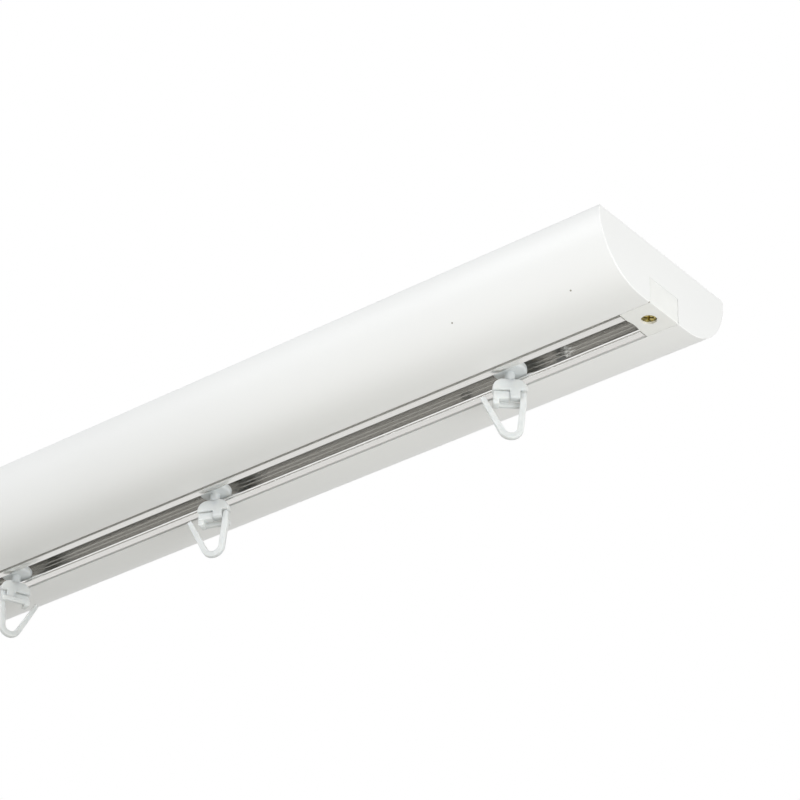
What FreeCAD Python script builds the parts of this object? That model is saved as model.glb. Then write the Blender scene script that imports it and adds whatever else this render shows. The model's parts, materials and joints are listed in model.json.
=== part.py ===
"""Ceiling curtain track: a white lacquered moulding of D section with an aluminium slotted rail let
into its underside, a plastic stop block screwed into each end of the groove, and a row of gliders.
Each glider is a runner whose disc rides inside the rail and whose neck hangs through the slot, a
block that turns on the neck, and a curtain hook that swings on a pin through the block's tab.

Millimetres. X runs along the track, Y across it and Z up. The origin is the middle of the flat top
face, which lies against the ceiling, so the whole track is below Z = 0.
"""

import FreeCAD, Part
import math
import os

from FreeCAD import Placement, Rotation, Vector

# Track as a whole
TRACK_LENGTH = 600.0

# Moulding: flat top, quarter-round flanks, flat underside
MOULDING_WIDTH = 60.0
MOULDING_HEIGHT = 20.0
FLANK_RADIUS = 19.0
UNDERSIDE_LAND = 3.0
TOP_EDGE_RADIUS = 0.8
END_EDGE_CHAMFER = 0.15
GROOVE_MOUTH_CHAMFER = 0.25

# Slotted rail, a C section
SLOT_WIDTH = 6.0
RAIL_INNER_WIDTH = 11.0
RAIL_INNER_HEIGHT = 6.4
RAIL_WALL = 1.0
LIP_THICKNESS = 0.8
LIP_BEAD_WIDTH = 0.6
LIP_BEAD_DROP = 0.2
LIP_BEAD_CHAMFER = 0.2
LIP_GROOVE_WIDTH = 0.3
LIP_GROOVE_DEPTH = 0.3
WALL_RIB_HEIGHT = 0.12
WALL_RIB_WIDTH = 0.5
WALL_RIB_LEVELS = (3.1, 4.4)
RAIL_SIDE_GAP = 0.6
RAIL_RECESS = 0.25
RAIL_END_GAP = 0.2

# Stop block in each end of the groove
BLOCK_LENGTH = 10.4
BLOCK_SIDE_GAP = 0.1
BLOCK_RECESS = 0.05
BLOCK_EDGE_CHAMFER = 0.3
BLOCK_NOTCH_DEPTH = 0.5

# Cross-recess wood screws, alike but for the head: countersunk in the stop blocks, flat on the rail
SCREW_HEAD_R = 2.2
SCREW_SHANK_R = 1.2
SCREW_CLEARANCE = 0.05
RECESS_LENGTH = 2.4
RECESS_BLADE = 0.6
RECESS_DEPTH = 1.0
BLOCK_SCREW_LENGTH = 15.0
BLOCK_SCREW_SUNK = 0.2
RAIL_SCREW_LENGTH = 9.0
RAIL_SCREW_HEAD = 1.3
RAIL_SCREW_COUNT = 2
RAIL_SCREW_FROM_END = 40.0

# Holes for the screws that fix the track to the ceiling
CEILING_HOLE_R = 1.9
CEILING_HOLE_COUNT = 2
CEILING_HOLE_FROM_END = 75.0

# Runner: a disc on the rail's lips, a neck through the slot and a thinner pin into the block
RUN_GAP = 0.1
RUNNER_R = 5.0
RUNNER_THICKNESS = 2.2
NECK_R = 1.5
NECK_CLEARANCE = 0.08
NECK_SEAT_GAP = 0.05
NECK_PIN_R = 1.1
NECK_PIN_REACH = 2.0
NECK_END_GAP = 0.2

# Block that turns on the neck: shoulders above, tab below
NECK_SHOWN = 1.5
SHOULDER_WIDTH = 9.9
SHOULDER_HEIGHT = 3.5
SHOULDER_RADIUS = 3.2
BLOCK_THICKNESS = 3.0
TAB_PLAIN_REACH = 2.8
TAB_KNUCKLE_REACH = 0.9
PIVOT_BELOW_SHOULDER = 1.3

# Hook: two arms on a pin through the tab, a stirrup bar behind it, a long leg, the V and a free tip
PIVOT_PIN_R = 0.7
PIVOT_CLEARANCE = 0.08
ARM_WIDTH = 1.6
ARM_GAP = 0.2
ARM_ABOVE_PIVOT = 0.85
HOOK_THICKNESS = 1.6
STIRRUP_BELOW_PIVOT = 1.2
STIRRUP_HEIGHT = 1.6
STIRRUP_BEHIND = 1.3
STIRRUP_DEPTH = 1.1
PRONG_BELOW_PIVOT = 3.1
KNUCKLE_DROP = 1.5
KNUCKLE_CORNER = 0.6
V_BEND_RADIUS = 2.8
V_BEND_OFFSET = 0.3
V_DROP = 13.5
V_THICKNESS = 1.6
TIP_THICKNESS = 1.2
TIP_REACH = 7.4
TIP_BELOW_PIVOT = 1.75

# Gliders: the first ones stand at given distances from the right end, each turned by an angle from
# the X axis. The others share the rest of the track, all turned alike.
FIRST_GLIDERS = ((53.1, 43.0), (164.6, 21.0), (248.9, 247.0))
GLIDER_COUNT = 5
LAST_GLIDER_FROM_LEFT = 72.0
OTHER_GLIDER_TURN = 270.0

# Sizes that follow from those above
RAIL_WIDTH = RAIL_INNER_WIDTH + 2 * RAIL_WALL
RAIL_HEIGHT = RAIL_INNER_HEIGHT + RAIL_WALL + LIP_THICKNESS
GROOVE_WIDTH = RAIL_WIDTH + 2 * RAIL_SIDE_GAP
GROOVE_DEPTH = RAIL_HEIGHT + RAIL_RECESS
UNDERSIDE_Z = -MOULDING_HEIGHT
GROOVE_FLOOR_Z = UNDERSIDE_Z + GROOVE_DEPTH
LIP_UNDERSIDE_Z = UNDERSIDE_Z + RAIL_RECESS
LIP_TOP_Z = LIP_UNDERSIDE_Z + LIP_THICKNESS
WEB_UNDERSIDE_Z = GROOVE_FLOOR_Z - RAIL_WALL
BLOCK_UNDERSIDE_Z = UNDERSIDE_Z + BLOCK_RECESS
BLOCK_HEAD_Z = BLOCK_UNDERSIDE_Z + BLOCK_SCREW_SUNK
BLOCK_SCREW_TIP_Z = BLOCK_HEAD_Z + BLOCK_SCREW_LENGTH
RAIL_SCREW_TIP_Z = WEB_UNDERSIDE_Z + RAIL_SCREW_LENGTH
RAIL_LENGTH = TRACK_LENGTH - 2 * (BLOCK_LENGTH + RAIL_END_GAP)
RUNNER_BOTTOM_Z = LIP_TOP_Z + RUN_GAP
RUNNER_TOP_Z = RUNNER_BOTTOM_Z + RUNNER_THICKNESS
SHOULDER_TOP_Z = UNDERSIDE_Z - NECK_SHOWN
SHOULDER_BOTTOM_Z = SHOULDER_TOP_Z - SHOULDER_HEIGHT
NECK_PIN_END_Z = SHOULDER_TOP_Z - NECK_PIN_REACH
PIVOT_Z = SHOULDER_BOTTOM_Z - PIVOT_BELOW_SHOULDER


def trace(plane, start, *steps):
    """A closed face drawn in a plane: a step is a point, or (middle, end) for an arc."""
    edges = []
    here = start
    for step in (*steps, start):
        arc = isinstance(step[0], tuple)
        end = step[1] if arc else step
        if arc:
            edges.append(Part.Arc(plane(*here), plane(*step[0]), plane(*end)).toShape())
        elif math.dist(here, end) > 1e-6:
            edges.append(Part.LineSegment(plane(*here), plane(*end)).toShape())
        here = end
    return Part.Face(Part.Wire(edges))


def across(y, z):
    """A point of a cross section of the track."""
    return Vector(0, y, z)


def hook_plane(w, z):
    """A point of the hook's own plane, which is also the plane of a turned piece's half section."""
    return Vector(w, 0, z)


def on_circle(centre, radius, degrees):
    a = math.radians(degrees)
    return (centre[0] + radius * math.cos(a), centre[1] + radius * math.sin(a))


def extrude_along_track(face, length):
    """The face swept along the track, centred on the origin."""
    solid = face.extrude(Vector(length, 0, 0))
    solid.translate(Vector(-length / 2, 0, 0))
    return solid


def long_edges(solid, length, wanted):
    """Edges along the track whose middle (y, z) the test accepts."""
    return [
        e
        for e in solid.Edges
        if abs(e.BoundBox.XLength - length) < 1e-3 and wanted(e.CenterOfMass.y, e.CenterOfMass.z)
    ]


def cylinder(radius, bottom, top, x=0.0):
    return Part.makeCylinder(radius, top - bottom, Vector(x, 0, bottom))


def spread(count, from_end):
    """Places evenly spaced along the track, the outer two at the given distance from its ends."""
    reach = TRACK_LENGTH / 2 - from_end
    return [-reach + 2 * reach * n / (count - 1) for n in range(count)]


def rail_screw_places():
    return spread(RAIL_SCREW_COUNT, RAIL_SCREW_FROM_END)


def ceiling_hole_places():
    return spread(CEILING_HOLE_COUNT, CEILING_HOLE_FROM_END)


def block_screw_x():
    return TRACK_LENGTH / 2 - BLOCK_LENGTH / 2


def flank_radius():
    """The flank's radius, limited so that flat land is left beside the groove and the top edge."""
    beside_groove = (MOULDING_WIDTH - GROOVE_WIDTH) / 2 - UNDERSIDE_LAND
    under_top_edge = MOULDING_HEIGHT - TOP_EDGE_RADIUS - END_EDGE_CHAMFER / 2
    return min(FLANK_RADIUS, beside_groove, under_top_edge)


def moulding():
    """D section with a groove for the rail, pilot holes for screws and holes for the ceiling."""
    half = MOULDING_WIDTH / 2
    radius = flank_radius()
    flank_z = UNDERSIDE_Z + radius
    flat = half - radius
    groove = GROOVE_WIDTH / 2
    mouth = groove + GROOVE_MOUTH_CHAMFER
    mouth_z = UNDERSIDE_Z + GROOVE_MOUTH_CHAMFER
    face = trace(
        across,
        (-half, 0),
        (-half, flank_z),
        (on_circle((-flat, flank_z), radius, 225), (-flat, UNDERSIDE_Z)),
        (-mouth, UNDERSIDE_Z),
        (-groove, mouth_z),
        (-groove, GROOVE_FLOOR_Z),
        (groove, GROOVE_FLOOR_Z),
        (groove, mouth_z),
        (mouth, UNDERSIDE_Z),
        (flat, UNDERSIDE_Z),
        (on_circle((flat, flank_z), radius, 315), (half, flank_z)),
        (half, 0),
    )
    solid = extrude_along_track(face, TRACK_LENGTH)
    top = long_edges(solid, TRACK_LENGTH, lambda y, z: abs(z) < 1e-6)
    solid = solid.makeFillet(TOP_EDGE_RADIUS, top)
    outline = [
        e
        for e in solid.Edges
        if e.BoundBox.XLength < 1e-6
        and (abs(e.CenterOfMass.y) > mouth or abs(e.CenterOfMass.z) < 1e-6)
    ]
    solid = solid.makeChamfer(END_EDGE_CHAMFER, outline)
    cuts = [cylinder(CEILING_HOLE_R, GROOVE_FLOOR_Z - 1, 1, x) for x in ceiling_hole_places()]
    cuts += [shank_hole(RAIL_SCREW_TIP_Z, x) for x in rail_screw_places()]
    cuts += [shank_hole(BLOCK_SCREW_TIP_Z, side * block_screw_x()) for side in (-1, 1)]
    return solid.cut(cuts)


def rail():
    """C section: web, two walls with fine ribs, two lips with a bead and a groove by the slot."""
    outer = RAIL_WIDTH / 2
    inner = RAIL_INNER_WIDTH / 2
    slot = SLOT_WIDTH / 2
    bead_z = LIP_UNDERSIDE_Z - LIP_BEAD_DROP
    bead_y = slot + LIP_BEAD_WIDTH
    rib = inner - WALL_RIB_HEIGHT
    groove_y = bead_y + LIP_GROOVE_WIDTH
    groove_z = LIP_UNDERSIDE_Z + LIP_GROOVE_DEPTH
    right = [(slot, bead_z + LIP_BEAD_CHAMFER), (slot + LIP_BEAD_CHAMFER, bead_z)]
    right += [(bead_y, bead_z), (bead_y, groove_z), (groove_y, groove_z)]
    right += [(groove_y, LIP_UNDERSIDE_Z), (outer, LIP_UNDERSIDE_Z), (outer, GROOVE_FLOOR_Z)]
    inside = [(slot, LIP_TOP_Z), (inner, LIP_TOP_Z)]
    for level in WALL_RIB_LEVELS:
        z = LIP_TOP_Z + level
        inside += [(inner, z - WALL_RIB_WIDTH / 2), (rib, z), (inner, z + WALL_RIB_WIDTH / 2)]
    inside.append((inner, WEB_UNDERSIDE_Z))
    left = [(-y, z) for y, z in reversed(right)]
    inside_left = [(-y, z) for y, z in inside]
    points = right + left + inside_left + list(reversed(inside))
    solid = extrude_along_track(trace(across, points[0], *points[1:]), RAIL_LENGTH)
    above = GROOVE_FLOOR_Z + 1
    holes = [cylinder(CEILING_HOLE_R, LIP_TOP_Z, above, x) for x in ceiling_hole_places()]
    holes += [shank_hole(above, x) for x in rail_screw_places()]
    return solid.cut(holes)


def turned(face):
    """A half section turned about the Z axis."""
    return face.revolve(Vector(0, 0, 0), Vector(0, 0, 1), 360)


def screw(head_z, seat_z, cone_height, tip_z, x):
    """A cross-recess screw driven upwards: a head from head_z to its seat, a cone and a shank."""
    body = turned(
        trace(
            hook_plane,
            (0, head_z),
            (SCREW_HEAD_R, head_z),
            (SCREW_HEAD_R, seat_z),
            (SCREW_SHANK_R, seat_z + cone_height),
            (SCREW_SHANK_R, tip_z),
            (0, tip_z),
        )
    )
    corner = Vector(-RECESS_LENGTH / 2, -RECESS_BLADE / 2, head_z)
    arm = Part.makeBox(RECESS_LENGTH, RECESS_BLADE, RECESS_DEPTH, corner)
    for angle in (45, 135):
        blade = arm.copy()
        blade.rotate(Vector(0, 0, 0), Vector(0, 0, 1), angle)
        body = body.cut(blade)
    body.translate(Vector(x, 0, 0))
    return body


def block_screw(side):
    """Countersunk, its head a little below the stop block's underside."""
    cone_height = SCREW_HEAD_R - SCREW_SHANK_R
    return screw(
        BLOCK_HEAD_Z, BLOCK_HEAD_Z, cone_height, BLOCK_SCREW_TIP_Z, side * block_screw_x()
    )


def rail_screw(x):
    """Flat-headed, its head against the rail's web."""
    return screw(WEB_UNDERSIDE_Z - RAIL_SCREW_HEAD, WEB_UNDERSIDE_Z, 0.0, RAIL_SCREW_TIP_Z, x)


def shank_hole(top, x):
    """A screw's hole with its named clearance, from inside the rail up to the given height."""
    return cylinder(SCREW_SHANK_R + SCREW_CLEARANCE, LIP_TOP_Z, top, x)


def block_screw_seat():
    """The countersink and clearance hole of a stop block's screw."""
    head = SCREW_HEAD_R + SCREW_CLEARANCE
    shank = SCREW_SHANK_R + SCREW_CLEARANCE
    seat = turned(
        trace(
            hook_plane,
            (0, BLOCK_UNDERSIDE_Z - 1),
            (head, BLOCK_UNDERSIDE_Z - 1),
            (head, BLOCK_HEAD_Z),
            (shank, BLOCK_HEAD_Z + head - shank),
            (shank, GROOVE_FLOOR_Z + 1),
            (0, GROOVE_FLOOR_Z + 1),
        )
    )
    seat.translate(Vector(block_screw_x(), 0, 0))
    return seat


def stop_block(side):
    """Plastic block that closes the groove: flush underside, countersunk hole, notched inner face."""
    width = GROOVE_WIDTH - 2 * BLOCK_SIDE_GAP
    height = GROOVE_FLOOR_Z - BLOCK_UNDERSIDE_Z
    inner_x = TRACK_LENGTH / 2 - BLOCK_LENGTH
    block = Part.makeBox(
        BLOCK_LENGTH, width, height, Vector(inner_x, -width / 2, BLOCK_UNDERSIDE_Z)
    )
    outer_edges = [
        e
        for e in block.Edges
        if e.CenterOfMass.x > TRACK_LENGTH / 2 - 1e-6 and e.CenterOfMass.z < GROOVE_FLOOR_Z - 1e-6
    ]
    block = block.makeChamfer(BLOCK_EDGE_CHAMFER, outer_edges)
    chord = SLOT_WIDTH / 2
    notch_r = (chord**2 + BLOCK_NOTCH_DEPTH**2) / (2 * BLOCK_NOTCH_DEPTH)
    notch_x = inner_x + BLOCK_NOTCH_DEPTH - notch_r
    notch = cylinder(notch_r, BLOCK_UNDERSIDE_Z - 1, GROOVE_FLOOR_Z + 1, notch_x)
    block = block.cut([notch, block_screw_seat()])
    if side < 0:
        block.rotate(Vector(0, 0, 0), Vector(0, 0, 1), 180)
    return block


def runner():
    """Disc that hangs on the rail's lips, the neck that passes through the slot, and its pin."""
    return turned(
        trace(
            hook_plane,
            (0, NECK_PIN_END_Z),
            (NECK_PIN_R, NECK_PIN_END_Z),
            (NECK_PIN_R, SHOULDER_TOP_Z + NECK_SEAT_GAP),
            (NECK_R, SHOULDER_TOP_Z + NECK_SEAT_GAP),
            (NECK_R, RUNNER_BOTTOM_Z),
            (RUNNER_R, RUNNER_BOTTOM_Z),
            (RUNNER_R, RUNNER_TOP_Z),
            (0, RUNNER_TOP_Z),
        )
    )


def block():
    """Rounded shoulders that turn on the neck, and below them a tab bored for the hook's pin."""
    half = SHOULDER_WIDTH / 2
    corner = half - SHOULDER_RADIUS
    corner_z = SHOULDER_TOP_Z - SHOULDER_RADIUS
    shoulders = trace(
        hook_plane,
        (-half, SHOULDER_BOTTOM_Z),
        (half, SHOULDER_BOTTOM_Z),
        (half, corner_z),
        (on_circle((corner, corner_z), SHOULDER_RADIUS, 45), (corner, SHOULDER_TOP_Z)),
        (-corner, SHOULDER_TOP_Z),
        (on_circle((-corner, corner_z), SHOULDER_RADIUS, 135), (-half, corner_z)),
    ).extrude(Vector(0, BLOCK_THICKNESS, 0))
    shoulders.translate(Vector(0, -BLOCK_THICKNESS / 2, 0))
    side = BLOCK_THICKNESS / 2
    tab = trace(
        across,
        (-side, SHOULDER_BOTTOM_Z),
        (-side, PIVOT_Z),
        ((0, PIVOT_Z - side), (side, PIVOT_Z)),
        (side, SHOULDER_BOTTOM_Z),
    ).extrude(Vector(TAB_KNUCKLE_REACH + TAB_PLAIN_REACH, 0, 0))
    tab.translate(Vector(-TAB_KNUCKLE_REACH, 0, 0))
    body = shoulders.fuse(tab).removeSplitter()
    bore_end = NECK_PIN_END_Z - NECK_END_GAP
    neck_bore = cylinder(NECK_PIN_R + NECK_CLEARANCE, bore_end, SHOULDER_TOP_Z + 1)
    pin_bore = pivot_pin(PIVOT_PIN_R + PIVOT_CLEARANCE, SHOULDER_WIDTH)
    return body.cut([neck_bore, pin_bore])


def pivot_pin(radius, length):
    """A cylinder on the hook's pivot axis, centred between the arms."""
    return Part.makeCylinder(radius, length, Vector(-length / 2, 0, PIVOT_Z), Vector(1, 0, 0))


def tangent_angle(centre, radius, point, turn):
    """Direction, from the centre, of the place where a line from the point touches the circle."""
    dw, dz = point[0] - centre[0], point[1] - centre[1]
    spread_angle = math.degrees(math.acos(radius / math.hypot(dw, dz)))
    return math.degrees(math.atan2(dz, dw)) + turn * spread_angle


def bar_between(a, b, width_a, width_b):
    """A straight bar of the hook's plane, from a to b, that may taper."""
    length = math.dist(a, b)
    nw, nz = (a[1] - b[1]) / length, (b[0] - a[0]) / length
    corners = [
        (a[0] + nw * width_a / 2, a[1] + nz * width_a / 2),
        (b[0] + nw * width_b / 2, b[1] + nz * width_b / 2),
        (b[0] - nw * width_b / 2, b[1] - nz * width_b / 2),
        (a[0] - nw * width_a / 2, a[1] - nz * width_a / 2),
    ]
    return trace(hook_plane, corners[0], *corners[1:])


def disc(centre, radius):
    circle = Part.makeCircle(radius, hook_plane(*centre), Vector(0, 1, 0))
    return Part.Face(Part.Wire(circle))


def hook():
    """Two arms joined by the pivot pin and the stirrup bar, a long leg, the V and its free tip."""
    arm_inner = TAB_PLAIN_REACH + ARM_GAP
    arm_mid = arm_inner + ARM_WIDTH / 2
    knuckle_inner = -TAB_KNUCKLE_REACH - ARM_GAP
    knuckle_low = PIVOT_Z - KNUCKLE_DROP
    arm_top = PIVOT_Z + ARM_ABOVE_PIVOT
    corner = KNUCKLE_CORNER
    prong_end = PIVOT_Z - PRONG_BELOW_PIVOT + ARM_WIDTH / 2
    centre = (V_BEND_OFFSET, PIVOT_Z - V_DROP + V_BEND_RADIUS)
    leg_top = (arm_mid, PIVOT_Z - STIRRUP_BELOW_PIVOT - STIRRUP_HEIGHT)
    tip = (-TIP_REACH, PIVOT_Z - TIP_BELOW_PIVOT)
    leg_angle = tangent_angle(centre, V_BEND_RADIUS, leg_top, -1)
    tip_angle = tangent_angle(centre, V_BEND_RADIUS, tip, 1)
    leg_end = on_circle(centre, V_BEND_RADIUS, leg_angle)
    tip_start = on_circle(centre, V_BEND_RADIUS, tip_angle)
    middle_angle = (leg_angle + tip_angle - 360) / 2
    outer, inner = V_BEND_RADIUS + V_THICKNESS / 2, V_BEND_RADIUS - V_THICKNESS / 2
    bend = trace(
        hook_plane,
        on_circle(centre, outer, leg_angle),
        (on_circle(centre, outer, middle_angle), on_circle(centre, outer, tip_angle)),
        on_circle(centre, inner, tip_angle),
        (on_circle(centre, inner, middle_angle), on_circle(centre, inner, leg_angle)),
    )
    knuckle = trace(
        hook_plane,
        (-arm_mid, arm_top),
        (knuckle_inner, arm_top),
        (knuckle_inner, knuckle_low + corner),
        (
            on_circle((knuckle_inner - corner, knuckle_low + corner), corner, 315),
            (knuckle_inner - corner, knuckle_low),
        ),
        (-arm_mid, knuckle_low),
    )
    left = knuckle.fuse(
        [
            bar_between((-arm_mid, arm_top), (-arm_mid, prong_end), ARM_WIDTH, ARM_WIDTH),
            disc((-arm_mid, prong_end), ARM_WIDTH / 2),
        ]
    )
    right = bend.fuse(
        [
            bar_between((arm_mid, arm_top), leg_top, ARM_WIDTH, ARM_WIDTH),
            bar_between(leg_top, leg_end, ARM_WIDTH, V_THICKNESS),
            bar_between(tip_start, tip, V_THICKNESS, TIP_THICKNESS),
            disc(tip, TIP_THICKNESS / 2),
        ]
    )
    halves = []
    for outline in (left, right):
        half = outline.removeSplitter().Faces[0].extrude(Vector(0, HOOK_THICKNESS, 0))
        half.translate(Vector(0, -HOOK_THICKNESS / 2, 0))
        halves.append(half)
    parts = [halves[1], stirrup(arm_inner), pivot_pin(PIVOT_PIN_R, 2 * arm_mid)]
    return halves[0].fuse(parts).removeSplitter()


def stirrup(arm_inner):
    """The bar behind the tab, with the two ends that join it to the arms: a U seen from below."""
    outer = arm_inner + ARM_WIDTH
    back = STIRRUP_BEHIND + STIRRUP_DEPTH
    low = PIVOT_Z - STIRRUP_BELOW_PIVOT - STIRRUP_HEIGHT
    outline = trace(
        lambda w, t: Vector(w, t, low),
        (-outer, 0),
        (-arm_inner, 0),
        (-arm_inner, STIRRUP_BEHIND),
        (arm_inner, STIRRUP_BEHIND),
        (arm_inner, 0),
        (outer, 0),
        (outer, back),
        (-outer, back),
    )
    return outline.extrude(Vector(0, 0, STIRRUP_HEIGHT))


def glider_places():
    """Distance from the right end and turn of each glider."""
    places = list(FIRST_GLIDERS)
    start = places[-1][0]
    others = GLIDER_COUNT - len(places)
    step = (TRACK_LENGTH - LAST_GLIDER_FROM_LEFT - start) / others
    return places + [(start + step * (n + 1), OTHER_GLIDER_TURN) for n in range(others)]


def placed(shape, from_right_end, turn):
    """A glider's piece carried from the origin to its place along the track, turned about its neck."""
    copy = shape.copy()
    where = Vector(TRACK_LENGTH / 2 - from_right_end, 0, 0)
    copy.Placement = Placement(where, Rotation(Vector(0, 0, 1), turn)).multiply(copy.Placement)
    return copy


def build():
    parts = {
        "cover_moulding": moulding(),
        "slotted_rail": rail(),
        "stop_block_right": stop_block(1),
        "stop_block_left": stop_block(-1),
        "stop_screw_right": block_screw(1),
        "stop_screw_left": block_screw(-1),
        "rail_screws": Part.makeCompound([rail_screw(x) for x in rail_screw_places()]),
    }
    pieces = {"runner": runner(), "block": block(), "hook": hook()}
    for number, (from_right_end, turn) in enumerate(glider_places(), start=1):
        for name, shape in pieces.items():
            parts[f"glider_{number:02d}_{name}"] = placed(shape, from_right_end, turn)
    return parts


os.makedirs("parts", exist_ok=True)
for name, shape in build().items():
    shape.exportStep(f"parts/{name}.step")
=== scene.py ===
"""A white ceiling curtain track seen from below, at its right end.

The moulding is white-lacquered wood, the slotted rail is anodised aluminium, the stop blocks and
the gliders are moulded plastic and the screws are brass-plated and zinc-plated steel. Metres, in
the model's own frame: X along the track, Y across it, Z up, the origin in the middle of the top
face.
"""

import json
import math

import bmesh
import bpy
from mathutils import Matrix, Vector


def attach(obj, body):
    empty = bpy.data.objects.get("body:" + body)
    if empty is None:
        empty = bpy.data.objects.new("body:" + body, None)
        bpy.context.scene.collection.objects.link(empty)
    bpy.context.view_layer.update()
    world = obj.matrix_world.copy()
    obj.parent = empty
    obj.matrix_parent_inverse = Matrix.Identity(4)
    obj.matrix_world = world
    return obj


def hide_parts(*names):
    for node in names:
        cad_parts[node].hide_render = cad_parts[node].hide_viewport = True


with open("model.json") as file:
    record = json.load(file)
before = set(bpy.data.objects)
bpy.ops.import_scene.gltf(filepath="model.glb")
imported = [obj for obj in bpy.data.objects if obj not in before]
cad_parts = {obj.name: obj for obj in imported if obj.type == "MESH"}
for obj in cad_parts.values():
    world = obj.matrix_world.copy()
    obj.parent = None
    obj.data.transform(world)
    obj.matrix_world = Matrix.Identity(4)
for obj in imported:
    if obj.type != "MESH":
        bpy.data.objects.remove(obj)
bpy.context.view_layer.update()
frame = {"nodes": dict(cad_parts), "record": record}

MM = 0.001

# strength of the room's light on the object, below that of the white that the camera sees
WORLD_LIGHT = 0.46

# sizes of the track, in millimetres; the groove and the rail are those measured in the photograph
HALF_LENGTH = 300.0
HALF_WIDTH = 30.0
UNDERSIDE_Z = -20.0
BELOW_Z = UNDERSIDE_Z - 1.0
FLANK_RADIUS = 19.0
TOP_EDGE_RADIUS = 0.8
END_EDGE_CHAMFER = 0.15
MOUTH_RADIUS = 0.42
GROOVE_HALF = 6.8
GROOVE_FLOOR_Z = -11.55
RAIL_HALF = 5.85
RAIL_INNER_HALF = 5.2
RAIL_LOW_Z = -19.93
LIP_TOP_Z = -18.95
WEB_LOW_Z = -12.55
SLOT_HALF = 3.0
LIP_FLAT_FROM = 3.52
LEDGE_Z = RAIL_LOW_Z + 0.32
LEDGE_CHAMFER = 0.3
NOSE_R = 0.22
RIB_LEVELS = (3.1, 4.4)
RIB_PROUD = 0.12
RIB_HALF_HEIGHT = 0.2
RAIL_END = 289.4
BLOCK_FROM = 289.6
BLOCK_HALF = 6.7
NOTCH_R = 9.25
NOTCH_DEPTH = 0.5
SCREW_X = 294.8
SCREW_HEAD_R = 2.2
SCREW_SHANK_R = 1.2
SCREW_HEAD_Z = -19.3
SCREW_RIM = 0.12
SCREW_TIP_Z = -4.8
SCREW_HOLE_TOP_Z = -4.75
RECESS_HALF_LENGTH = 1.4
RECESS_HALF_WIDTH = 0.33
RECESS_DEPTH = 0.9
RECESS_TURN = 38.0
CEILING_HOLE_X = 225.0
CEILING_HOLE_R = 1.9
RAIL_SCREW_X = 260.0
RAIL_SCREW_HOLE_TOP_Z = -3.55
SCREW_HOLE_R = 1.25

# sizes of a glider, in millimetres: the solids' own, or as the photograph shows them better
RUNNER_R = 5.0
RUNNER_LOW_Z = -18.85
RUNNER_THICKNESS = 2.2
RUNNER_EDGE = 0.75
NECK_R = 1.52
NECK_FLARE = 0.35
NECK_FLARE_DROP = 0.2
NECK_SEAT_Z = -21.45
NECK_PIN_R = 0.5
NECK_END_Z = -23.5
SHOULDER_TOP_Z = -21.5
SHOULDER_LOW_Z = -25.0
SHOULDER_WIDTH = 9.9
SHOULDER_RADIUS = 3.1
BLOCK_THICKNESS = 3.0
TAB_FROM = 0.05
TAB_TO = 2.93
PIVOT_Z = -26.3
PIVOT_PIN_R = 0.33
TAB_LOW_Z = PIVOT_Z - 1.4
TAB_ROUND = 0.85
ARM_TOP_Z = PIVOT_Z + 1.23
ARM_INNER = 3.0
ARM_OUTER = 4.65
KNUCKLE_END = 0.0
KNUCKLE_DEPTH = 2.3
KNUCKLE_LOW_Z = PIVOT_Z - 1.5
PRONG_Z = PIVOT_Z - 3.15
BAR_TOP_Z = PIVOT_Z - 1.2
BAR_LOW_Z = PIVOT_Z - 2.8
BAR_FRONT = 1.3
BAR_BACK = 2.45
HOOK_THICKNESS = 1.6
LEG_TOP = (3.82, PIVOT_Z - 2.8)
V_RADIUS = 2.8
V_CENTRE = (0.3, PIVOT_Z - 13.5 + 2.93)
V_THICKNESS = 1.85
TIP = (-7.4, PIVOT_Z - 1.75)
TIP_THICKNESS = 1.45

# grain of the remeshed mouldings, in millimetres, and the passes that soften their edges
MELT_GRAIN = 0.1
MELT_ROUNDS = 3


def linear(hex_colour):
    """An sRGB colour, such as "#F2F2EF", as linear RGBA."""
    channels = [int(hex_colour[i : i + 2], 16) / 255 for i in (1, 3, 5)]
    return [c / 12.92 if c <= 0.04045 else ((c + 0.055) / 1.055) ** 2.4 for c in channels] + [1.0]


def add_node(tree, kind, inputs=None, links=None, **settings):
    """Adds a node to a tree, with its settings, its unlinked inputs and its links."""
    new = tree.nodes.new(kind)
    for name, value in settings.items():
        setattr(new, name, value)
    for socket, value in (inputs or {}).items():
        new.inputs[socket].default_value = value
    for socket, source in (links or {}).items():
        tree.links.new(source, new.inputs[socket])
    return new


def new_material(name):
    """An empty material: its tree, its shader, and the coordinates on the object in metres."""
    material = bpy.data.materials.new(name)
    material.use_nodes = True
    tree = material.node_tree
    tree.nodes.clear()
    shader = add_node(tree, "ShaderNodeBsdfPrincipled")
    add_node(tree, "ShaderNodeOutputMaterial", links={"Surface": shader.outputs[0]})
    place = add_node(tree, "ShaderNodeTexCoord").outputs["Object"]
    return material, tree, shader, place


def set_ramp(ramp, *stops):
    """Gives a Color Ramp node its stops, each (position, hex colour)."""
    elements = ramp.color_ramp.elements
    while len(elements) > len(stops):
        elements.remove(elements[-1])
    while len(elements) < len(stops):
        elements.new(1.0)
    for element, (position, colour) in zip(elements, stops):
        element.position = position
        element.color = linear(colour)


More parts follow.
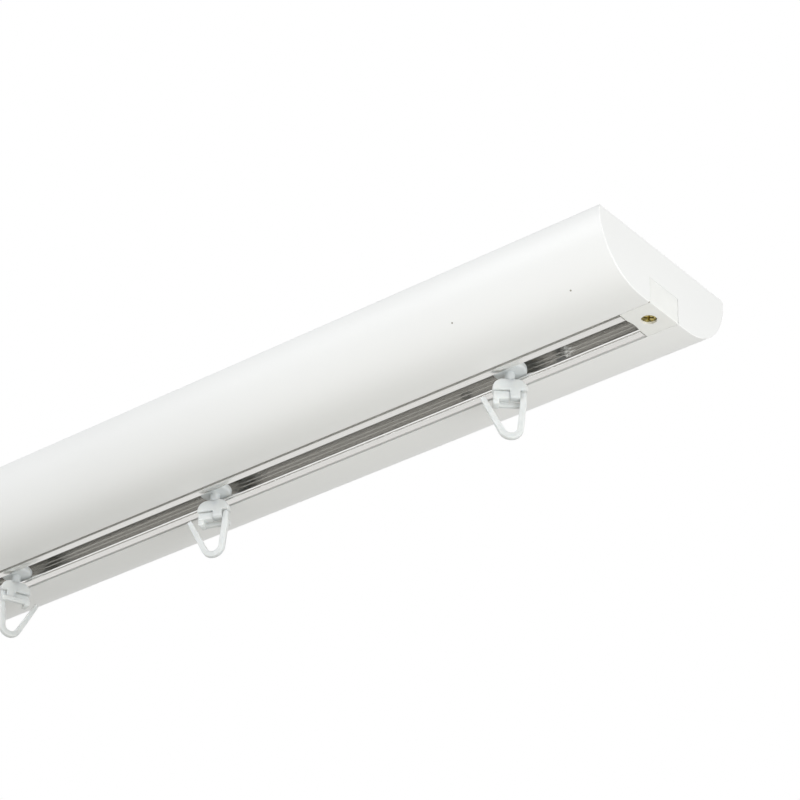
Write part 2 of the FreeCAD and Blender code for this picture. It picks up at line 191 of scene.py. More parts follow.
def semi_gloss_white_lacquer():
    """Sprayed white lacquer on wood: faint orange peel, a little tone, and a few dark nicks."""
    material, tree, shader, place = new_material("semi_gloss_white_lacquer_on_wood")
    # tone that drifts over some 120 mm, as a hand-sprayed coat does
    drift = add_node(
        tree, "ShaderNodeTexNoise", {"Scale": 8.0, "Detail": 2.0}, {"Vector": place}
    )
    tone = add_node(tree, "ShaderNodeValToRGB", links={"Fac": drift.outputs["Fac"]})
    set_ramp(tone, (0.3, "#F1F1F0"), (0.7, "#F5F5F4"))
    # nicks and dust specks about 0.4 mm across, in about one of five cells of 28 mm
    cells = add_node(tree, "ShaderNodeTexVoronoi", {"Scale": 36.0}, {"Vector": place})
    near = add_node(
        tree, "ShaderNodeMath", {1: 0.0075}, {0: cells.outputs["Distance"]}, operation="LESS_THAN"
    )
    pick = add_node(tree, "ShaderNodeSeparateColor", links={"Color": cells.outputs["Color"]})
    few = add_node(
        tree, "ShaderNodeMath", {1: 0.22}, {0: pick.outputs["Red"]}, operation="LESS_THAN"
    )
    speck = add_node(
        tree,
        "ShaderNodeMath",
        links={0: near.outputs[0], 1: few.outputs[0]},
        operation="MULTIPLY",
    )
    # the two larger nicks by the right end and a chip at the groove's corner, 0.5 mm across
    for spot in (
        (0.2837, -0.0211, -0.0171),
        (0.2455, -0.0247, -0.0142),
        (0.2998, -0.0070, -0.0200),
    ):
        away = add_node(
            tree, "ShaderNodeVectorMath", {1: spot}, {0: place}, operation="DISTANCE"
        )
        nick = add_node(
            tree,
            "ShaderNodeMath",
            {1: 0.27 * MM},
            {0: away.outputs["Value"]},
            operation="LESS_THAN",
        )
        speck = add_node(
            tree,
            "ShaderNodeMath",
            links={0: speck.outputs[0], 1: nick.outputs[0]},
            operation="MAXIMUM",
        )
    colour = add_node(
        tree,
        "ShaderNodeMix",
        {"B": linear("#8F8A80")},
        {"Factor": speck.outputs[0], "A": tone.outputs["Color"]},
        data_type="RGBA",
    )
    # orange peel: waves 1.6 mm long; a real coat's are finer, but would not show
    peel = add_node(
        tree, "ShaderNodeTexNoise", {"Scale": 620.0, "Detail": 1.0}, {"Vector": place}
    )
    bump = add_node(
        tree,
        "ShaderNodeBump",
        {"Strength": 0.25, "Distance": 0.02 * MM},
        {"Height": peel.outputs["Fac"]},
    )
    rough = add_node(
        tree,
        "ShaderNodeMapRange",
        {"To Min": 0.34, "To Max": 0.42},
        {"Value": drift.outputs["Fac"]},
    )
    tree.links.new(colour.outputs["Result"], shader.inputs["Base Color"])
    tree.links.new(rough.outputs["Result"], shader.inputs["Roughness"])
    tree.links.new(bump.outputs["Normal"], shader.inputs["Normal"])
    shader.inputs["IOR"].default_value = 1.5
    return material


def anodised_extruded_aluminium():
    """Etched and anodised aluminium: a satin mirror with fine die lines and a faint grain."""
    material, tree, shader, place = new_material("satin_anodised_extruded_aluminium")
    # die lines run the length of the rail, some 0.45 mm apart across it
    stretch = add_node(
        tree, "ShaderNodeMapping", {"Scale": (3.0, 2200.0, 2200.0)}, {"Vector": place}
    )
    lines = add_node(
        tree,
        "ShaderNodeTexNoise",
        {"Scale": 1.0, "Detail": 3.0, "Roughness": 0.6},
        {"Vector": stretch.outputs["Vector"]},
    )
    # the etched grain, 0.24 mm
    grain = add_node(
        tree, "ShaderNodeTexNoise", {"Scale": 4200.0, "Detail": 1.0}, {"Vector": place}
    )
    tone = add_node(tree, "ShaderNodeValToRGB", links={"Fac": lines.outputs["Fac"]})
    set_ramp(tone, (0.3, "#DCDBD8"), (0.7, "#E4E3E0"))
    speckle = add_node(tree, "ShaderNodeValToRGB", links={"Fac": grain.outputs["Fac"]})
    set_ramp(speckle, (0.35, "#F9F9F8"), (0.65, "#FFFFFF"))
    colour = add_node(
        tree,
        "ShaderNodeMix",
        {"Factor": 1.0},
        {"A": tone.outputs["Color"], "B": speckle.outputs["Color"]},
        data_type="RGBA",
        blend_type="MULTIPLY",
    )
    rough = add_node(
        tree,
        "ShaderNodeMapRange",
        {"To Min": 0.2, "To Max": 0.26},
        {"Value": grain.outputs["Fac"]},
    )
    height = add_node(
        tree,
        "ShaderNodeMath",
        {1: 0.05},
        {0: grain.outputs["Fac"], 2: lines.outputs["Fac"]},
        operation="MULTIPLY_ADD",
    )
    bump = add_node(
        tree,
        "ShaderNodeBump",
        {"Strength": 0.1, "Distance": 0.02 * MM},
        {"Height": height.outputs[0]},
    )
    tree.links.new(colour.outputs["Result"], shader.inputs["Base Color"])
    tree.links.new(rough.outputs["Result"], shader.inputs["Roughness"])
    tree.links.new(bump.outputs["Normal"], shader.inputs["Normal"])
    shader.inputs["Metallic"].default_value = 1.0
    return material


def moulded_plastic(name, dark, light, roughness, subsurface, grain_mm):
    """A moulded polymer: a tone that varies slightly with wall thickness and a fine mould grain."""
    material, tree, shader, place = new_material(name)
    # clouds of tone some 5.5 mm across
    cloud = add_node(
        tree, "ShaderNodeTexNoise", {"Scale": 180.0, "Detail": 2.0}, {"Vector": place}
    )
    tone = add_node(tree, "ShaderNodeValToRGB", links={"Fac": cloud.outputs["Fac"]})
    set_ramp(tone, (0.3, dark), (0.7, light))
    grain = add_node(
        tree,
        "ShaderNodeTexNoise",
        {"Scale": 1.0 / (grain_mm * MM), "Detail": 1.0},
        {"Vector": place},
    )
    bump = add_node(
        tree,
        "ShaderNodeBump",
        {"Strength": 0.2, "Distance": 0.02 * MM},
        {"Height": grain.outputs["Fac"]},
    )
    rough = add_node(
        tree,
        "ShaderNodeMapRange",
        {"To Min": roughness - 0.04, "To Max": roughness + 0.04},
        {"Value": cloud.outputs["Fac"]},
    )
    tree.links.new(tone.outputs["Color"], shader.inputs["Base Color"])
    tree.links.new(rough.outputs["Result"], shader.inputs["Roughness"])
    tree.links.new(bump.outputs["Normal"], shader.inputs["Normal"])
    shader.inputs["IOR"].default_value = 1.5
    # light goes some 4 mm in, a little less of it blue, which fills the dark side of thin walls
    shader.inputs["Subsurface Weight"].default_value = subsurface
    shader.inputs["Subsurface Radius"].default_value = (1.0, 0.95, 0.9)
    shader.inputs["Subsurface Scale"].default_value = 4.0 * MM
    return material


def worked_metal(name, dark, light, roughness):
    """Plated or polished metal: brighter and duller patches from the tool and from handling; on the
    brass plate the duller, olive patches are painted shade.
    """
    material, tree, shader, place = new_material(name)
    # patches some 1.1 mm across
    patches = add_node(
        tree, "ShaderNodeTexNoise", {"Scale": 900.0, "Detail": 3.0}, {"Vector": place}
    )
    tone = add_node(tree, "ShaderNodeValToRGB", links={"Fac": patches.outputs["Fac"]})
    set_ramp(tone, (0.35, dark), (0.65, light))
    rough = add_node(
        tree,
        "ShaderNodeMapRange",
        {"To Min": roughness - 0.06, "To Max": roughness + 0.1},
        {"Value": patches.outputs["Fac"]},
    )
    bump = add_node(
        tree,
        "ShaderNodeBump",
        {"Strength": 0.3, "Distance": 0.02 * MM},
        {"Height": patches.outputs["Fac"]},
    )
    tree.links.new(tone.outputs["Color"], shader.inputs["Base Color"])
    tree.links.new(rough.outputs["Result"], shader.inputs["Roughness"])
    tree.links.new(bump.outputs["Normal"], shader.inputs["Normal"])
    shader.inputs["Metallic"].default_value = 1.0
    return material


def dress(piece, material, smooth_degrees=30):
    """Gives a piece its one material and smooths its faces up to an angle."""
    piece.data.materials.clear()
    piece.data.materials.append(material)
    take(piece)
    bpy.ops.object.shade_smooth_by_angle(angle=math.radians(smooth_degrees))


def take(*pieces):
    """Leaves only these pieces selected, the first of them active."""
    bpy.ops.object.select_all(action="DESELECT")
    for piece in pieces:
        piece.select_set(True)
    bpy.context.view_layer.objects.active = pieces[0]


def finish_modifier(piece, kind, **settings):
    """Adds a modifier with its settings and applies it."""
    take(piece)
    modifier = piece.modifiers.new(kind.lower(), kind)
    for name, value in settings.items():
        setattr(modifier, name, value)
    bpy.ops.object.modifier_apply(modifier=modifier.name)


def choose(kind, test):
    """Selects, on the piece in edit mode, the faces or edges whose middle and self pass a test."""
    bpy.ops.mesh.select_mode(type=kind)
    bpy.ops.mesh.select_all(action="DESELECT")
    mesh = bmesh.from_edit_mesh(bpy.context.edit_object.data)
    for part in mesh.faces if kind == "FACE" else mesh.edges:
        middle = sum((v.co for v in part.verts), Vector()) / len(part.verts) / MM
        part.select_set(bool(test(middle, part)))
    bmesh.update_edit_mesh(bpy.context.edit_object.data)


def box(low, high):
    """A box between two corners, in millimetres."""
    bpy.ops.mesh.primitive_cube_add(
        size=1.0,
        location=[(a + b) / 2 * MM for a, b in zip(low, high)],
        scale=[(b - a) * MM for a, b in zip(low, high)],
    )
    bpy.ops.object.transform_apply(location=True, rotation=True, scale=True)
    return bpy.context.object


def rod(radius, start, end, sides=40):
    """A round bar from one point to another, in millimetres."""
    start, end = Vector(start), Vector(end)
    bpy.ops.mesh.primitive_cylinder_add(
        vertices=sides,
        radius=radius * MM,
        depth=(end - start).length * MM,
        location=(start + end) / 2 * MM,
        rotation=(end - start).to_track_quat("Z", "Y").to_euler(),
    )
    bpy.ops.object.transform_apply(location=True, rotation=True, scale=True)
    return bpy.context.object


def round_edges(width, segments):
    """Bevels what is selected in edit mode."""
    bpy.ops.mesh.bevel(offset=width * MM, offset_type="OFFSET", segments=segments, profile=0.5)


def round_where(piece, width, segments, test):
    """Rounds the piece's edges whose middle, in millimetres, passes the test."""
    take(piece)
    bpy.ops.object.mode_set(mode="EDIT")
    choose("EDGE", lambda middle, edge: test(middle))
    round_edges(width, segments)
    bpy.ops.object.mode_set(mode="OBJECT")


def same(value, wanted):
    """Whether two measures in millimetres are the same but for rounding."""
    return abs(value - wanted) < 0.01


def melt_together(name, pieces):
    """Joins overlapping pieces to one moulding whose edges and inner corners are slightly soft."""
    take(*pieces)
    bpy.ops.object.join()
    moulding = bpy.context.object
    moulding.name = name
    finish_modifier(moulding, "REMESH", mode="VOXEL", voxel_size=MELT_GRAIN * MM, adaptivity=0.0)
    finish_modifier(moulding, "SMOOTH", factor=0.5, iterations=MELT_ROUNDS)
    return moulding


def hollow(piece, cutter):
    """Takes the cutter's shape out of the piece."""
    finish_modifier(piece, "BOOLEAN", operation="DIFFERENCE", object=cutter, solver="EXACT")
    bpy.data.objects.remove(cutter, do_unlink=True)


def turn_whole(piece, degrees):
    """Turns a piece about the Z axis through the origin."""
    take(piece)
    piece.rotation_euler = (0.0, 0.0, math.radians(degrees))
    bpy.ops.object.transform_apply(location=True, rotation=True, scale=True)


def model_moulding():
    """The cover: a box with quarter-round flanks, a groove with eased edges, and its holes."""
    cover = box((-HALF_LENGTH, -HALF_WIDTH, UNDERSIDE_Z), (HALF_LENGTH, HALF_WIDTH, 0.0))
    round_where(cover, FLANK_RADIUS, 36, lambda at: same(at.x, 0.0) and same(at.z, UNDERSIDE_Z))
    round_where(cover, TOP_EDGE_RADIUS, 4, lambda at: same(at.x, 0.0) and same(at.z, 0.0))
    finish_modifier(
        cover,
        "BEVEL",
        width=END_EDGE_CHAMFER * MM,
        segments=1,
        limit_method="ANGLE",
        angle_limit=math.radians(60),
    )
    reach = HALF_LENGTH + 1
    hollow(cover, box((-reach, -GROOVE_HALF, BELOW_Z), (reach, GROOVE_HALF, GROOVE_FLOOR_Z)))
    round_where(
        cover,
        MOUTH_RADIUS,
        4,
        lambda at: same(at.x, 0.0) and same(abs(at.y), GROOVE_HALF) and same(at.z, UNDERSIDE_Z),
    )
    for side in (-1, 1):
        for x, radius, top, sides in (
            (CEILING_HOLE_X, CEILING_HOLE_R, 1.0, 32),
            (RAIL_SCREW_X, SCREW_HOLE_R, RAIL_SCREW_HOLE_TOP_Z, 24),
            (SCREW_X, SCREW_HOLE_R, SCREW_HOLE_TOP_Z, 24),
        ):
            start, end = (side * x, 0.0, GROOVE_FLOOR_Z - 1), (side * x, 0.0, top)
            hollow(cover, rod(radius, start, end, sides))
    finish_modifier(cover, "WEIGHTED_NORMAL", keep_sharp=True, weight=100)
    cover.name = "cover_moulding_shaped"
    return cover


def model_rail():
    """The slotted rail: a bar hollowed from end to end, with a ledge under each lip and ribs."""
    reach = RAIL_END + 1
    rail = box((-RAIL_END, -RAIL_HALF, RAIL_LOW_Z), (RAIL_END, RAIL_HALF, GROOVE_FLOOR_Z - 0.02))
    for half, low, high in (
        (RAIL_INNER_HALF, LIP_TOP_Z, WEB_LOW_Z),
        (SLOT_HALF, BELOW_Z, LIP_TOP_Z + 0.5),
        (LIP_FLAT_FROM, BELOW_Z, LEDGE_Z),
    ):
        hollow(rail, box((-reach, -half, low), (reach, half, high)))
    round_where(
        rail,
        LEDGE_CHAMFER,
        1,
        lambda at: same(at.x, 0.0) and same(abs(at.y), SLOT_HALF) and same(at.z, LEDGE_Z),
    )
    finish_modifier(
        rail,
        "BEVEL",
        width=0.06 * MM,
        segments=2,
        limit_method="ANGLE",
        angle_limit=math.radians(60),
    )
    for side in (-1, 1):
        for x, radius in ((CEILING_HOLE_X, CEILING_HOLE_R), (RAIL_SCREW_X, SCREW_HOLE_R)):
            start, end = (side * x, 0.0, WEB_LOW_Z - 0.5), (side * x, 0.0, GROOVE_FLOOR_Z + 1)
            hollow(rail, rod(radius, start, end, 32))
    ribs = []
    for level in RIB_LEVELS:
        for side in (-1, 1):
            low, high = sorted(
                (side * (RAIL_INNER_HALF - RIB_PROUD), side * (RAIL_INNER_HALF + 0.2))
            )
            z = LIP_TOP_Z + level
            ribs.append(
                box((-RAIL_END, low, z - RIB_HALF_HEIGHT), (RAIL_END, high, z + RIB_HALF_HEIGHT))
            )
    take(rail, *ribs)
    bpy.ops.object.join()
    rail.name = "slotted_rail_shaped"
    return rail


def model_lip_noses():
    """The round along each lip's inner corner, in a metal brighter than the rail's, whose bright
    thread is a painted highlight.
    """
    # flush with the slot's side and a hundredth of a millimetre above the lip's underside, so that
    # the chamfered corner between them bares the nose
    y, z = SLOT_HALF + NOSE_R, LEDGE_Z + NOSE_R + 0.01
    noses = [
        rod(NOSE_R, (-RAIL_END, side * y, z), (RAIL_END, side * y, z), 24) for side in (-1, 1)
    ]
    take(*noses)
    bpy.ops.object.join()
    return bpy.context.object


def countersunk(clearance, head_z, tip_z):
    """A screw's plain body in the right-hand block: rim, cone and shank, or the hole for it."""
    head, shank = SCREW_HEAD_R + clearance, SCREW_SHANK_R + clearance
    rim_z = SCREW_HEAD_Z + SCREW_RIM
    body = rod(head, (SCREW_X, 0.0, head_z), (SCREW_X, 0.0, rim_z), 64)
    bpy.ops.object.mode_set(mode="EDIT")
    choose("FACE", lambda middle, face: face.normal.z > 0.99)
    bpy.ops.mesh.extrude_region_move(
        TRANSFORM_OT_translate={"value": (0.0, 0.0, (head - shank) * MM)}
    )
    bpy.ops.transform.resize(
        value=(shank / head, shank / head, 1.0), center_override=(SCREW_X * MM, 0.0, 0.0)
    )
    bpy.ops.mesh.extrude_region_move(
        TRANSFORM_OT_translate={"value": (0.0, 0.0, (tip_z - rim_z - head + shank) * MM)}
    )
    bpy.ops.object.mode_set(mode="OBJECT")
    return body


def model_stop_block():
    """The right-hand end block, hollowed at its inner end and bored for its screw."""
    block = box(
        (BLOCK_FROM, -BLOCK_HALF, UNDERSIDE_Z + 0.03),
        (HALF_LENGTH, BLOCK_HALF, GROOVE_FLOOR_Z - 0.02),
    )
    finish_modifier(block, "BEVEL", width=0.1 * MM, segments=1, limit_method="ANGLE")
    x = BLOCK_FROM + NOTCH_DEPTH - NOTCH_R
    hollow(block, rod(NOTCH_R, (x, 0.0, BELOW_Z), (x, 0.0, -11.0), 160))
    hollow(block, countersunk(0.06, BELOW_Z, GROOVE_FLOOR_Z + 1))
    block.name = "stop_block_shaped"
    return block


def model_stop_screw():
    """The right-hand block's screw, its rim eased and its cross recess cut."""
    screw = countersunk(0.0, SCREW_HEAD_Z, SCREW_TIP_Z)
    round_where(screw, 0.1, 2, lambda at: same(at.z, SCREW_HEAD_Z))
    for turn in (0.0, 90.0):
        blade = box(
            (-RECESS_HALF_LENGTH, -RECESS_HALF_WIDTH, SCREW_HEAD_Z - 0.5),
            (RECESS_HALF_LENGTH, RECESS_HALF_WIDTH, SCREW_HEAD_Z + RECESS_DEPTH),
        )
        turn_whole(blade, RECESS_TURN + turn)
        take(blade)
        blade.location = (SCREW_X * MM, 0.0, 0.0)
        bpy.ops.object.transform_apply(location=True, rotation=True, scale=True)
        hollow(screw, blade)
    screw.name = "stop_screw_shaped"
    return screw


def fit_track(finishes):
    """Fits the shaped cover, rail, end blocks and their screws, and adds the lips' noses."""
    pieces = [
        (model_moulding(), "cover_moulding", "cover"),
        (model_rail(), "slotted_rail", "rail"),
    ]
    for part, make in (("stop_block", model_stop_block), ("stop_screw", model_stop_screw)):
        right = make()
        take(right)
        bpy.ops.object.duplicate(linked=False)
        left = bpy.context.object
        turn_whole(left, 180.0)
        pieces += [(right, f"{part}_right", part), (left, f"{part}_left", part)]
    for piece, node, part in pieces:
        slot, material = finishes[part]
        dress(piece, material, 32)
        piece.name = f"{node}_shaped"
        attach(piece, "track")
        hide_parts(node)
    # the noses have no node of their own: in the solids each is a part of the rail's lip
    noses = model_lip_noses()
    slot, material = finishes["noses"]
    dress(noses, material)
    noses.name = "lip_noses"
    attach(noses, "track")


def touch_angle(centre, radius, point, turn):
    """Direction, from the centre, of the place where a line from the point touches the circle."""
    across, up = point[0] - centre[0], point[1] - centre[1]
    return math.atan2(up, across) + turn * math.acos(radius / math.hypot(across, up))


def bent_leg():
    """The right arm, the long leg, the bend of the V and the free tip, from one box."""
    touches = [
        touch_angle(V_CENTRE, V_RADIUS, point, turn) for point, turn in ((LEG_TOP, -1), (TIP, 1))
    ]
    leg_end, tip_start = (
        Vector((V_CENTRE[0] + V_RADIUS * math.cos(a), 0.0, V_CENTRE[1] + V_RADIUS * math.sin(a)))
        for a in touches
    )
    top = Vector((LEG_TOP[0], 0.0, LEG_TOP[1]))
    leg = top - leg_end
    bpy.ops.mesh.primitive_cube_add(
        size=1.0,
        location=(top + leg_end) / 2 * MM,
        rotation=(0.0, math.atan2(leg.x, leg.z), 0.0),
        scale=(V_THICKNESS * MM, HOOK_THICKNESS * MM, leg.length * MM),
    )
    bpy.ops.object.transform_apply(location=True, rotation=True, scale=True)
    piece = bpy.context.object
    bpy.ops.object.mode_set(mode="EDIT")
    choose("FACE", lambda middle, face: (middle - top).length < 0.05)
    bpy.ops.mesh.extrude_region_move(
        TRANSFORM_OT_translate={"value": (0.0, 0.0, (ARM_TOP_Z - top.z) * MM)}
    )
    bpy.ops.transform.resize(
        value=((ARM_OUTER - ARM_INNER) / V_THICKNESS, 1.0, 0.0),
        center_override=(top.x * MM, 0.0, ARM_TOP_Z * MM),
    )
    choose("FACE", lambda middle, face: (middle - leg_end).length < 0.05)
    bpy.ops.mesh.spin(
        steps=14,
        angle=touches[1] - touches[0] - 2 * math.pi,
        center=(V_CENTRE[0] * MM, 0.0, V_CENTRE[1] * MM),
        axis=(0.0, 1.0, 0.0),
    )
    tip = Vector((TIP[0], 0.0, TIP[1]))
    along = (tip - tip_start).normalized()
    reach = tip - tip_start + along * TIP_THICKNESS / 2
    bpy.ops.mesh.extrude_region_move(TRANSFORM_OT_translate={"value": reach * MM})
    end = (tip_start + reach) * MM
    bpy.ops.transform.resize(value=[TIP_THICKNESS / V_THICKNESS] * 3, center_override=end)
    bpy.ops.mesh.select_all(action="SELECT")
    bpy.ops.mesh.remove_doubles(threshold=0.01 * MM)
    bpy.ops.mesh.normals_make_consistent(inside=False)
    bpy.ops.object.mode_set(mode="OBJECT")
    round_arm_top(piece, HOOK_THICKNESS / 2, 0.5)
    finish_modifier(piece, "BEVEL", width=0.25 * MM, segments=3, limit_method="ANGLE")
    return piece


def round_arm_top(piece, half, width):
    """Rounds an arm's top to and fro, so that it clears the shoulders as the hook swings."""
    round_where(piece, width, 6, lambda at: same(at.z, ARM_TOP_Z) and same(abs(at.y), half))


def left_arm():
    """The short arm with its knuckle on the pin and its deep, rounded lower end."""
    half = HOOK_THICKNESS / 2
    arm = box((-ARM_OUTER, -half, PRONG_Z), (-ARM_INNER, half, ARM_TOP_Z))
    foot = box((-ARM_OUTER, -half, PRONG_Z), (-ARM_INNER, BAR_BACK, BAR_TOP_Z))
    for piece in (arm, foot):
        round_where(piece, 0.6, 6, lambda at: same(at.x, -ARM_OUTER) and same(at.z, PRONG_Z))
    round_arm_top(arm, half, 0.5)
    half = KNUCKLE_DEPTH / 2
    knuckle = box((-ARM_OUTER, -half, KNUCKLE_LOW_Z), (KNUCKLE_END, half, ARM_TOP_Z))
    round_where(
        knuckle, 0.5, 4, lambda at: same(at.x, KNUCKLE_END) and same(at.z, KNUCKLE_LOW_Z)
    )
    round_arm_top(knuckle, half, 0.95)
    for piece in (arm, foot, knuckle):
        finish_modifier(piece, "BEVEL", width=0.18 * MM, segments=3, limit_method="ANGLE")
    return [arm, foot, knuckle]


def model_hook():
    """The curtain hook, in the plane y = 0 below the origin."""
    bars = [
        box((-ARM_OUTER, BAR_FRONT, BAR_LOW_Z), (ARM_OUTER, BAR_BACK, BAR_TOP_Z)),
        box((ARM_INNER, 0.0, BAR_LOW_Z), (ARM_OUTER, BAR_BACK, BAR_TOP_Z)),
    ]
    for bar in bars:
        finish_modifier(bar, "BEVEL", width=0.22 * MM, segments=3, limit_method="ANGLE")
    pin_end = ARM_OUTER - 0.8
    pin = rod(PIVOT_PIN_R, (-pin_end, 0.0, PIVOT_Z), (pin_end, 0.0, PIVOT_Z))
    return melt_together("curtain_hook", [bent_leg(), *left_arm(), *bars, pin])


def model_block():
    """The rounded block that turns on the neck, with the tab that carries the hook's pin."""
    half = SHOULDER_WIDTH / 2
    side = BLOCK_THICKNESS / 2
    shoulders = box((-half, -side, SHOULDER_LOW_Z - 0.4), (half, side, SHOULDER_TOP_Z))
    round_where(
        shoulders,
        SHOULDER_RADIUS,
        10,
        lambda at: same(abs(at.x), half) and same(at.z, SHOULDER_TOP_Z),
    )
    finish_modifier(shoulders, "BEVEL", width=0.16 * MM, segments=2, limit_method="ANGLE")
    # the lower edge stays sharp, so that only a thin line parts it from the knuckle
    hollow(shoulders, box((-6.0, -2.0, SHOULDER_LOW_Z - 1.0), (6.0, 2.0, SHOULDER_LOW_Z)))
    tab = box((TAB_FROM, -side, TAB_LOW_Z), (TAB_TO, side, SHOULDER_LOW_Z + 0.6))
    round_where(
        tab, TAB_ROUND, 8, lambda at: same(at.z, TAB_LOW_Z) and same(abs(at.y), side)
    )
    finish_modifier(tab, "BEVEL", width=0.08 * MM, segments=2, limit_method="ANGLE")
    block = melt_together("turning_block", [shoulders, tab])
    # both holes clear their pins by 0.05 mm
    low, high = (0.0, 0.0, NECK_END_Z - 0.2), (0.0, 0.0, SHOULDER_TOP_Z + 1)
    hollow(block, rod(NECK_PIN_R + 0.05, low, high, 48))
    hollow(block, rod(PIVOT_PIN_R + 0.05, (-half, 0.0, PIVOT_Z), (half, 0.0, PIVOT_Z), 32))
    return block


def model_runner():
    """The disc that hangs on the rail's lips, its edges rounded, and the neck under it."""
    runner = rod(RUNNER_R, (0, 0, RUNNER_LOW_Z), (0, 0, RUNNER_LOW_Z + RUNNER_THICKNESS), 64)
    bpy.ops.object.mode_set(mode="EDIT")
    choose(
        "EDGE",
        lambda middle, edge: math.hypot(middle.x, middle.y) > RUNNER_R - 0.1
        and abs(edge.verts[0].co.z - edge.verts[1].co.z) < 1e-7,
    )
    round_edges(RUNNER_EDGE, 5)
    choose("FACE", lambda middle, face: face.normal.z < -0.99)
    flat = RUNNER_R - RUNNER_EDGE - NECK_R - NECK_FLARE
    bpy.ops.mesh.inset(thickness=flat * MM, depth=0.0)
    bpy.ops.mesh.inset(thickness=NECK_FLARE * MM, depth=NECK_FLARE_DROP * MM)
    neck = NECK_SEAT_Z - RUNNER_LOW_Z - NECK_FLARE_DROP
    bpy.ops.mesh.extrude_region_move(TRANSFORM_OT_translate={"value": (0.0, 0.0, neck * MM)})
    bpy.ops.mesh.inset(thickness=(NECK_R - NECK_PIN_R) * MM, depth=0.0)
    bpy.ops.mesh.extrude_region_move(
        TRANSFORM_OT_translate={"value": (0.0, 0.0, (NECK_END_Z - NECK_SEAT_Z) * MM)}
    )
    bpy.ops.mesh.inset(thickness=0.3 * MM, depth=0.0)
    bpy.ops.object.mode_set(mode="OBJECT")
    runner.name = "runner"
    return runner


def set_out_gliders(finishes):
    """Copies the runner, the block and the hook to each glider's place, turned as its hook is."""
    masters = {"runner": model_runner(), "block": model_block(), "hook": model_hook()}
    for joint in frame["record"]["behaviour"]["joints"]:
        if not joint["name"].endswith("_swing"):
            continue
        glider = joint["name"][: -len("_swing")]
        turn = math.atan2(joint["axis"][1], joint["axis"][0])
        for part, master in masters.items():
            take(master)
            bpy.ops.object.duplicate(linked=False)
            copy = bpy.context.object
            copy.name = f"{glider}_{part}_moulded"
            copy.rotation_euler = (0.0, 0.0, turn)
            copy.location = (joint["pos_m"][0], 0.0, 0.0)
            bpy.ops.object.transform_apply(location=True, rotation=True, scale=True)
            slot, material = finishes[part]
            dress(copy, material, 35)
            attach(copy, f"{glider}_{part}")
            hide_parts(f"{glider}_{part}")
    for master in masters.values():
        bpy.data.objects.remove(master, do_unlink=True)


def pale_surround():
    """A plain pale world, which the camera sees as white, and a plain pale floor."""
    world = bpy.data.worlds.new("pale_room")
    bpy.context.scene.world = world
    world.use_nodes = True
    tree = world.node_tree
    tree.nodes.clear()
    # the camera and mirrors see white, and the dimmer, faintly cool one lights the object
    lit = add_node(
        tree, "ShaderNodeBackground", {"Color": linear("#F8FBFB"), "Strength": WORLD_LIGHT}
    )
    seen = add_node(tree, "ShaderNodeBackground", {"Color": linear("#FFFFFF"), "Strength": 1.0})
    path = add_node(tree, "ShaderNodeLightPath")
    straight = add_node(
        tree,
        "ShaderNodeMath",
        links={0: path.outputs["Is Camera Ray"], 1: path.outputs["Is Transmission Ray"]},
        operation="MAXIMUM",
    )
    clear = add_node(
        tree,
        "ShaderNodeMath",
        links={0: straight.outputs[0], 1: path.outputs["Is Glossy Ray"]},
        operation="MAXIMUM",
    )
    mix = add_node(
        tree,
        "ShaderNodeMixShader",
        links={0: clear.outputs[0], 1: lit.outputs[0], 2: seen.outputs[0]},
    )
    add_node(tree, "ShaderNodeOutputWorld", links={"Surface": mix.outputs[0]})

    bpy.ops.object.select_all(action="DESELECT")
    bpy.ops.mesh.primitive_plane_add(size=14.0, location=(0.0, 0.0, -2.4))
    floor = bpy.context.object
    floor.name = "floor"
    bpy.ops.object.transform_apply(location=True, rotation=False, scale=False)
    material, tree, shader, _ = new_material("pale_floor")
    shader.inputs["Base Color"].default_value = linear("#CCCAC2")
    shader.inputs["Roughness"].default_value = 0.8
    # metal mirrors the floor as the white of the backdrop; seen straight, it keeps its shadow
    white = add_node(tree, "ShaderNodeEmission", {"Color": linear("#FFFFFF"), "Strength": 1.0})
    path = add_node(tree, "ShaderNodeLightPath")
    blend = add_node(
        tree,
        "ShaderNodeMixShader",
        links={0: path.outputs["Is Glossy Ray"], 1: shader.outputs[0], 2: white.outputs[0]},
    )
    tree.links.new(blend.outputs[0], tree.nodes["Material Output"].inputs["Surface"])
    floor.data.materials.append(material)


def soft_light(name, place, target, size, energy, colour="#FFFFFF"):
    """A large square lamp that faces the target."""
    lamp = bpy.data.lights.new(name, "AREA")
    lamp.shape = "SQUARE"
    lamp.size = size
    lamp.energy = energy
    lamp.color = linear(colour)[:3]
    holder = bpy.data.objects.new(name, lamp)
    bpy.context.scene.collection.objects.link(holder)
    holder.location = place
    holder.rotation_euler = (Vector(target) - Vector(place)).to_track_quat("-Z", "Y").to_euler()
    holder.visible_camera = False


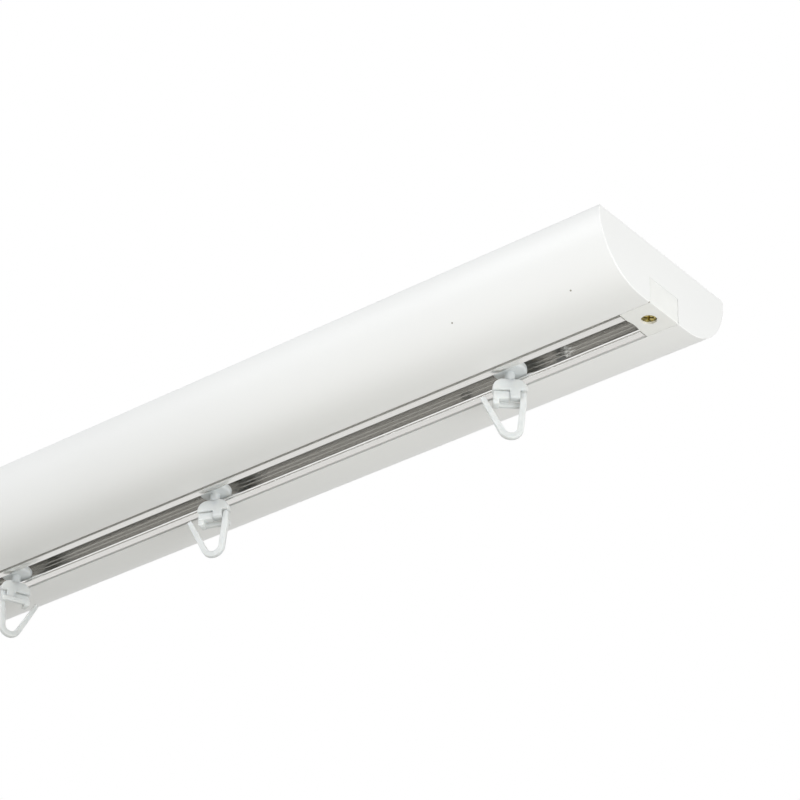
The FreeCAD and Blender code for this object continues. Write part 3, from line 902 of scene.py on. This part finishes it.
def photo_camera():
    """The photograph's viewpoint: below, in front and to the right, looking up along the track.

    The numbers are fitted to the photograph's long edges, end block and gliders.
    """
    data = bpy.data.cameras.new("photo_camera")
    data.sensor_fit = "HORIZONTAL"
    data.sensor_width = 36.0
    data.lens = 140.58
    data.clip_start = 0.05
    data.clip_end = 60.0
    camera = bpy.data.objects.new("photo_camera", data)
    bpy.context.scene.collection.objects.link(camera)
    right = Vector((0.77890, 0.62692, 0.01719))
    up = Vector((0.32302, -0.42451, 0.84584))
    back = right.cross(up)
    turn = Matrix((right, up, back)).transposed().to_4x4()
    camera.matrix_world = Matrix.Translation((0.69525, -0.59339, -0.49672)) @ turn
    bpy.context.scene.camera = camera


bpy.context.scene.view_settings.view_transform = "Standard"
pale_surround()
soft_light("key_light", (-0.9, -4.4, 0.8), (0.0, 0.0, -0.02), 2.2, 99.0, "#FBFCFF")
soft_light("low_fill", (0.85, -0.12, -0.44), (0.2, 0.0, -0.02), 0.45, 4.2)
photo_camera()

lacquer = semi_gloss_white_lacquer()
aluminium = anodised_extruded_aluminium()
# polystyrene, moulded in a satin tool: a dense white a little warmer than the lacquer
block_plastic = moulded_plastic(
    "satin_white_polystyrene_moulded", "#F0F0ED", "#F4F4F1", 0.42, 0.1, 0.35
)
# natural polyamide, moulded: milky, so light passes between its thin walls and evens them out
milky = moulded_plastic("milky_polyamide_moulded", "#D1D4D3", "#DADDDC", 0.36, 1.0, 0.3)
# natural acetal, moulded: as milky, slightly greyer and slicker
runner_plastic = moulded_plastic(
    "grey_milky_acetal_moulded", "#CED2D3", "#D7DBDC", 0.34, 0.8, 0.3
)
# steel with a yellow brass plate, gold where it catches the light; its olive patches are painted
# shade, the dark of the head's shadowed half spread over it at random
brass = worked_metal("brass_plated_steel_painted_shade", "#6B6232", "#C9B873", 0.26)
# aluminium brighter than the rail's, a painted highlight: a clean mirror that shows as a white
# thread
painted_highlight_metal = worked_metal("painted_highlight_aluminium", "#F4F4F2", "#FCFCFB", 0.14)
# steel with a zinc plate: a dull blue-grey, out of sight above the rail
zinc = worked_metal("zinc_plated_steel", "#9DA0A2", "#C9CBCC", 0.34)

dress(frame["nodes"]["rail_screws"], zinc)
fit_track(
    {
        "cover": ("white_lacquer", lacquer),
        "rail": ("rail_aluminium", aluminium),
        "noses": ("rail_aluminium", painted_highlight_metal),
        "stop_block": ("white_plastic", block_plastic),
        "stop_screw": ("brass", brass),
    }
)
set_out_gliders(
    {
        "runner": ("runner_plastic", runner_plastic),
        "block": ("hook_plastic", milky),
        "hook": ("hook_plastic", milky),
    }
)

bpy.context.view_layer.update()
